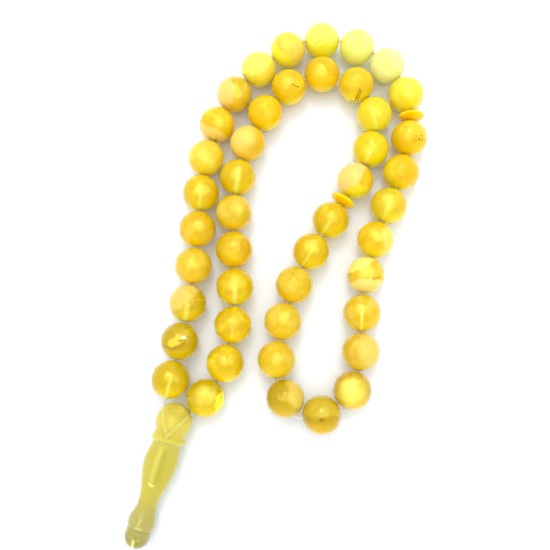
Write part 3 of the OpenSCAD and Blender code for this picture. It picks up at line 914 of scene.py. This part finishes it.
# What sets single beads apart: x is to the right, y away from the imame, z to the camera. A streak is a
# painted line, light or dark, along the bore: (start, end, half width, colour, amount), with 1 at the mouth
# nearer to the imame. Some caps and marks are painted light or shade, as noted at each bead.
LOOKS = {
    1: dict(**DARK_HONEY, streaks=[(-0.2, 0.9, 0.08, PAINTED_SHINE, 0.8), (-0.95, -0.5, 0.05, PAINTED_BORE_SHADE, 0.7)]),
    2: dict(**{**DARK_HONEY, "deep": (0.70, 0.50, 0.003)}, streaks=[(-0.9, -0.4, 0.11, PAINTED_BORE_SHADE, 0.5)],
            marks=[((-0.45, -0.12), (-0.12, 0.04), 0.26, (0.82, 0.58, 0.05)),
                   ((-0.76, -0.3), (-0.34, -0.42), 0.05, (0.36, 0.21, 0.004)),
                   ((-0.34, -0.42), (0.08, -0.25), 0.05, (0.36, 0.21, 0.004)),
                   ((0.08, -0.25), (0.28, 0.0), 0.05, (0.36, 0.21, 0.004)),
                   ((-0.04, 0.02), (0.12, 0.04), 0.07, (0.50, 0.30, 0.004)),
                   # A painted sparkle, nearly white, where the fracture catches the light
                   ((0.15, 0.2), (0.24, 0.2), 0.09, (1.0, 0.96, 0.7))]),
    3: dict(**DARK_HONEY, streaks=[(0.1, 0.9, 0.13, PAINTED_SHINE, 0.8)],
            caps=[((-0.6, 0.7, 0.5), 0.45, 0.12, PEACH, 0.6)],
            marks=[((0.3, 0.16), (0.92, 0.2), 0.03, (0.7, 0.42, 0.003)),
                   ((0.05, 0.75), (0.3, 0.35), 0.05, (0.7, 0.45, 0.003))]),
    5: dict(deep=(0.86, 0.57, 0.003), light=(0.92, 0.68, 0.06)),
    # Bead 6: its side away from the imame is painted darker, as painted shade
    6: dict(**HONEY, streaks=[(-0.4, 0.9, 0.1, PAINTED_SHINE, 0.8)], caps=[((0, 1, 0), 0.75, 0.15, DARK_GOLD, 0.7)]),
    7: dict(deep=(0.93, 0.66, 0.03), light=(0.96, 0.75, 0.12)),
    8: dict(caps=[((-0.45, -0.85, 0.3), 0.5, 0.04, PEACH, 0.65)],
            marks=[((-0.05, -0.78), (-0.12, -0.9), 0.04, RUST)]),
    9: dict(caps=[((-1, 0.1, 0.5), 0.5, 0.07, PEACH, 0.75)]),
    10: dict(caps=[((-0.4, 0.9, 0.5), 0.3, 0.05, (0.99, 0.88, 0.16), 0.8)],
             marks=[((-0.48, -0.21), (-0.48, -0.21), 0.025, RUST)]),
    11: dict(deep=(0.98, 0.64, 0.05), light=(0.99, 0.70, 0.12),
             # A bright patch low on the bead, painted light
             caps=[((-0.7, -0.8, 0.2), 0.4, 0.1, PAINTED_GATHERED_GLOW, 0.8)]),
    12: dict(deep=(0.99, 0.81, 0.006), light=(0.99, 0.86, 0.10),
             # A bright cap on the upper side, painted glow
             caps=[((0, 0.9, 0.6), 0.35, 0.08, (0.99, 0.88, 0.16), 0.9)],
             marks=[((-0.37, -0.2), (0.06, 0.07), 0.03, (0.85, 0.55, 0.01))]),
    13: dict(deep=(0.99, 0.95, 0.20), light=(0.99, 0.96, 0.30)),
    14: dict(deep=(0.99, 0.95, 0.32), light=(0.99, 0.97, 0.44)),
    15: dict(deep=(0.98, 0.69, 0.008), light=(0.99, 0.76, 0.08)),
    16: dict(clouds=0.4, caps=[((0.6, 0.75, 0.3), 0.65, 0.1, (0.95, 0.63, 0.03), 0.7)],
             marks=[((0.14, 0.4), (0.14, 0.4), 0.03, SOOT), ((0.69, 0.14), (0.71, 0.1), 0.05, SOOT),
                    ((0.75, -0.1), (0.75, -0.1), 0.06, RUST), ((0.57, -0.08), (0.55, -0.05), 0.045, SOOT),
                    ((0.38, -0.14), (0.36, -0.16), 0.035, RUST)]),
    17: dict(streaks=[(0.5, 0.9, 0.03, PAINTED_SHINE, 0.4)], caps=[((1, 0.2, 0.3), 0.45, 0.2, DARK_GOLD, 0.7)]),
    18: dict(**{**HONEY, "deep": (0.95, 0.70, 0.02)}, streaks=[(-0.3, 0.9, 0.07, PAINTED_SHINE, 0.8)]),
    19: dict(clouds=0.6, caps=[((0.9, 0, 0.3), 0.6, 0.15, CREAM, 0.6)]),
    20: dict(deep=(0.76, 0.51, 0.01), light=(0.80, 0.57, 0.03),
             caps=[((-0.4, 0.9, 0.2), 0.6, 0.04, (0.90, 0.76, 0.2), 0.9),
                   ((0, -1, 0.3), 0.45, 0.03, (0.86, 0.70, 0.2), 0.9)],
             marks=[((0.4, -0.2), (0.75, -0.12), 0.08, (0.62, 0.36, 0.004))]),
    21: dict(streaks=[(-0.3, 0.9, 0.08, PAINTED_SHINE, 0.6)], deep=(0.72, 0.50, 0.01), light=(0.76, 0.57, 0.07)),
    22: dict(deep=(0.69, 0.46, 0.01), light=(0.73, 0.54, 0.09),
             caps=[((0.9, 0.1, 0.4), 0.3, 0.3, (0.75, 0.58, 0.14), 0.8)]),
    23: dict(streaks=[(-0.95, -0.55, 0.04, PAINTED_BORE_SHADE, 0.9)],
             deep=(0.74, 0.50, 0.02), light=(0.80, 0.60, 0.07),
             # The pale cap facing the camera is a painted glow
             caps=[((0, -0.1, 1), 0.75, 0.25, (0.99, 0.92, 0.2), 0.7)]),
    24: dict(caps=[((0, 1, 0.25), 0.12, 0.03, (0.66, 0.50, 0.04), 0.5)],
             marks=[((-0.02, -0.25), (0.06, -0.25), 0.13, (0.36, 0.17, 0.005)),
                    ((-0.68, -0.19), (-0.64, -0.24), 0.04, RUST), ((0.93, 0.1), (0.94, 0.0), 0.04, RUST),
                    ((0.88, -0.42), (0.87, -0.45), 0.03, SOOT)]),
    25: dict(caps=[((0.8, 0.3, 0.4), 0.55, 0.15, (0.76, 0.59, 0.12), 0.8)],
             marks=[((-0.6, 0.74), (-0.28, 0.35), 0.02, (0.35, 0.25, 0.01))]),
    27: dict(marks=[((0.65, 0.04), (0.65, 0.04), 0.025, (0.5, 0.33, 0.01))]),
    28: dict(caps=[((-0.1, -1, 0.2), 0.62, 0.08, DARK_GOLD, 0.4)],
             marks=[((-0.08, 0.54), (-0.1, 0.52), 0.03, SOOT), ((0.7, -0.07), (0.7, -0.07), 0.025, RUST)]),
    29: dict(**HONEY, streaks=[(-0.2, 0.9, 0.06, PAINTED_SHINE, 0.9)]),
    30: dict(**HONEY, streaks=[(0.1, 0.9, 0.09, PAINTED_SHINE, 0.8)]),
    31: dict(**HONEY, caps=[((0.9, 0.1, 0.2), 0.55, 0.06, DARK_GOLD, 0.8),
             # The bright cap at the bottom is painted light
             ((0, -1, 0.3), 0.5, 0.05, PAINTED_GATHERED_GLOW, 0.6), ((-0.7, 0.65, 0.35), 0.22, 0.05, PEACH, 0.85)]),
    32: dict(**{**HONEY, "deep": (0.99, 0.71, 0.004), "clear": 0.25},
             streaks=[(0.05, 0.9, 0.11, PAINTED_SHINE, 0.9)]),
    33: dict(**{**HONEY, "deep": (0.99, 0.76, 0.03), "clear": 0.25},
             streaks=[(-0.3, 0.9, 0.09, PAINTED_SHINE, 0.8)]),
    34: dict(deep=(0.95, 0.67, 0.012), marks=[((0.19, -0.2), (-0.12, -0.9), 0.045, (0.42, 0.18, 0.003)),
                    ((0.28, -0.27), (0.02, -0.92), 0.04, (0.42, 0.18, 0.003)),
                    ((-0.35, -0.8), (-0.1, -0.93), 0.045, RUST)]),
    35: dict(caps=[((0, -1, 0.2), 0.25, 0.05, (0.90, 0.60, 0.004), 0.7)]),
    36: dict(marks=[((0.15, 0.18), (0.55, 0.0), 0.035, RUST), ((-0.62, 0.68), (-0.5, 0.8), 0.04, RUST),
                    ((-0.8, -0.25), (-0.35, -0.6), 0.015, (0.6, 0.36, 0.004))]),
    37: dict(deep=(0.96, 0.60, 0.002), light=(0.97, 0.64, 0.004)),
    38: dict(caps=[((-0.8, 0.5, 0.5), 0.3, 0.4, (0.93, 0.66, 0.16), 0.8),
                   ((1, 0, 0.1), 0.6, 0.1, DARK_GOLD, 0.6)]),
    39: dict(**HONEY, streaks=[(-0.5, 0.9, 0.13, PAINTED_SHINE, 0.9)],
             # Its side away from the imame is painted darker, as painted shade
             caps=[((0.3, 1, 0.1), 0.75, 0.15, DARK_GOLD, 0.7)]),
    41: dict(deep=(0.82, 0.53, 0.003), marks=[((0.1, 0.35), (0.1, 0.35), 0.02, SOOT)]),
    42: dict(**HONEY, streaks=[(0.0, 0.9, 0.13, PAINTED_SHINE, 0.95)],
             marks=[((0.4, 0.1), (0.5, -0.1), 0.06, DARK_GOLD)]),
    43: dict(deep=(0.82, 0.57, 0.003), streaks=[(0.2, 0.7, 0.07, PAINTED_SHINE, 0.35)],
             marks=[((-0.03, 0.97), (-0.24, 0.77), 0.02, RUST)]),
    # Bead 44: a bright patch on its lower right rim, painted light
    44: dict(deep=(0.82, 0.58, 0.003), caps=[((0.5, -0.85, 0.1), 0.85, 0.06, PAINTED_GATHERED_GLOW, 0.9)]),
    45: dict(**DARK_HONEY, streaks=[(-0.95, -0.4, 0.08, PAINTED_BORE_SHADE, 0.7)],
             # A bright patch at the lower right, painted light, and a painted highlight on top
             caps=[((0.9, -0.3, 0.3), 0.75, 0.05, PAINTED_GATHERED_GLOW, 0.9), ((0, 0.1, 1), 0.85, 0.2, PAINTED_SHINE, 0.5)]),
}


def bead_material(name, slot, seed):
    """One bead's amber: painted lighter in its lower half, where light gathers, with a soft painted
    highlight near its top.
    """
    looks = {**KINDS[slot], **LOOKS.get(int(name[-2:]), {})}
    centre, bore = strung_at(name)
    bore = bead_turn(centre).inverted() @ (-bore if bore.y > 0 else bore)
    toward_imame = Vector((*bore.xy, 0))
    streaks = looks.pop("streaks", ())
    # Painted light on every bead: a soft painted highlight near the top, and the lower side painted lighter
    painted_gathered_light = tuple(min(PAINTED_LIGHT_GAIN * c, 0.99) for c in looks["deep"])
    painted_light_caps = [((0.03, 0.2, 1), 0.95, 0.08, PAINTED_GLOW, 0.45), ((0.1, -1, 0.1), 0.6, 0.4, painted_gathered_light, 0.8)]
    looks["caps"] = painted_light_caps + looks.get("caps", [])
    glints = [(toward_imame * start, toward_imame * end, *rest) for start, end, *rest in streaks]
    return amber(name + "_amber", glints=glints, seed=seed, **looks)


def imame_material():
    """Pale amber, with the V bores, the knot's chamber and the tip's bore shown through it in painted light
    and shade.
    """
    def at(side, along):
        return Vector((0, side, along)) / PATTERN_R

    # Painted light and shade for the V bores as they show through: a light core between dark edges; shade
    # for the tip's bore
    light, dark = (0.93, 0.88, 0.28), (0.64, 0.55, 0.08)
    olive, shade = (0.62, 0.54, 0.06), (0.24, 0.21, 0.06)
    # The glint across the head's top is a darker olive band; the one between the V legs is a painted glow
    glints = [(at(-1.5, -2.8), at(2.5, -2.2), 0.25, olive, 0.45), (at(0.2, 0.8), at(0, 3), 0.2, PAINTED_GLOW, 0.6)]
    for side in (-1, 1):
        leg = at(side * 4.1, -2.7), at(0, V_AT / MM)
        glints += [(*leg, 0.2, dark, 0.6), (*leg, 0.09, light, 0.8)]
    # Painted light and shade along the knot's chamber and its drilled point, painted light in the crease
    # under the ring and near the foot and the tip, and the tip's bore in painted light and shade
    glints += [
        (at(1.0, 9), at(1.0, 17.5), 0.2, (0.42, 0.36, 0.04), 0.5),
        (at(-0.5, 8), at(-0.5, 18), 0.16, light, 0.2),
        (at(-0.9, 18.9), at(0.5, 19.3), 0.06, light, 0.6),
        (at(-0.5, 19.4), at(0.3, 19.6), 0.12, light, 0.25),
        (at(-4, 6.6), at(4, 6.6), 0.05, light, 0.8),
        (at(0, 29.5), at(0, 31.5), 0.08, light, 0.25),
        (at(-0.6, 32.2), at(1.2, 32.2), 0.06, light, 0.5),
        (at(-1.6, 35.2), at(1.6, 35.4), 0.05, light, 0.2),
        (at(0.3, 35.2), at(0.3, 37.0), 0.1, shade, 0.6),
        (at(0, 36), at(0, 38.8), 0.1, light, 0.7),
    ]
    return amber(
        "amber_pale", (0.88, 0.76, 0.12), (0.90, 0.79, 0.17), clear=0.4, clouds=0.2,
        caps=[
            ((0, 0, 1), 1.4, 0.6, (0.52, 0.46, 0.07), 0.95),
            ((0, 0, 1), 5.2, 1.0, (0.42, 0.38, 0.13), 0.95),
            ((0, 0, 1), 6.9, 0.4, (0.33, 0.30, 0.10), 0.95),
        ], glints=glints, level=(0, 1, 1),
    )


wall = frosted("drilled_amber", (1.0, 0.92, 0.42))
deep = amber("amber_deep", (0.97, 0.57, 0.0), (0.98, 0.66, 0.01), clear=0.0)
pale = imame_material()

for i in range(PIECES):
    name = piece_name(i)
    if is_separator(i):
        make_separator(name, deep)
        continue
    slot = next(s["material_slot"] for s in frame["record"]["subparts"] if s["node"] == name)
    make_bead(name, bead_material(name, slot, 3.1 * i), wall, i)
make_imame_head(pale)
make_imame_body(pale)
make_imame_tip(pale)

# ---------------------------------------------------------------- the studio


def make_floor():
    """A sheet of white paper, a little cool, so that the amber's glow on it stays neutral."""
    s = Shader("paper")
    grain = s.noise(s.node("TexCoord").outputs["Object"], 60.0, 3)
    s.set(Base_Color=s.mix(grain, (0.85, 0.89, 0.97, 1), (0.88, 0.92, 0.99, 1)), Roughness=0.9)
    half = 1.5
    corners = [(-half, -half, 0), (half, -half, 0), (half, half, 0), (-half, half, 0)]
    floor = new_piece("floor", corners, [(0, 1, 2, 3)], s.material)


EVEN_LIGHT = 1.14
# Direction, cosines of the angles where it fades out and where it is full, and added strength
LAMPS = (
    ((-0.09, 0.06, 1), 0.82, 0.99, 0.9),
    ((-0.05, 0.48, 0.86), 0.978, 0.99, 6.5),
)


def make_tent():
    """A light tent: even white all round, with a wide glow overhead and a small lamp beyond the far end."""
    world = bpy.data.worlds.new("tent")
    world.use_nodes = True
    tree = world.node_tree
    toward = tree.nodes.new("ShaderNodeTexCoord").outputs["Generated"]
    strength = EVEN_LIGHT
    for direction, edge, core, extra in LAMPS:
        facing = tree.nodes.new("ShaderNodeVectorMath")
        facing.operation = "DOT_PRODUCT"
        facing.inputs[1].default_value = Vector(direction).normalized()
        tree.links.new(toward, facing.inputs[0])
        lamp = tree.nodes.new("ShaderNodeMapRange")
        lamp.interpolation_type = "SMOOTHSTEP"
        tree.links.new(facing.outputs["Value"], lamp.inputs[0])
        for socket, value in zip(lamp.inputs[1:5], (edge, core, 0, extra)):
            socket.default_value = value
        total = tree.nodes.new("ShaderNodeMath")
        tree.links.new(lamp.outputs[0], total.inputs[0])
        if isinstance(strength, float):
            total.inputs[1].default_value = strength
        else:
            tree.links.new(strength, total.inputs[1])
        strength = total.outputs[0]
    tree.links.new(strength, tree.nodes["Background"].inputs["Strength"])
    tree.nodes["Background"].inputs["Color"].default_value = (1, 1, 1, 1)
    scene.world = world


make_floor()
make_tent()
scene.view_settings.view_transform = "Standard"
